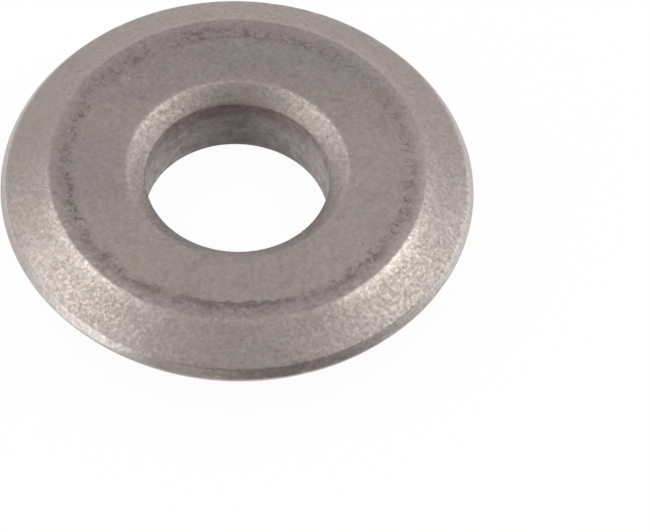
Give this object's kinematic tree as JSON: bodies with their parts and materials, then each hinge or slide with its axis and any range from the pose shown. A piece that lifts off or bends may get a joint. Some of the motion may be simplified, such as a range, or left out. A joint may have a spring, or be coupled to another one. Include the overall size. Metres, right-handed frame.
{
  "type": "tile cutter wheel",
  "caption": "Flat ring of sintered carbide with a plain bore, chamfered bore mouths and long ground bevels that meet in a blunt cutting edge, for scoring ceramic tiles.",
  "frame": {"origin": "centre of the lower face, on the bore's axis", "axes": "+Z along the bore's axis, out of the upper face, which is the one nearer the cutting edge; the wheel is the same all round it, so X and Y lie freely in the lower face"},
  "size_m": [0.016, 0.016, 0.003],
  "materials": {
    "carbide": "sintered tungsten carbide, fine matt grain on the faces, coarser sparkling grain on the ground bevels"
  },
  "bodies": {
    "root": {"cutting_wheel": "carbide"}
  },
  "joints": []
}
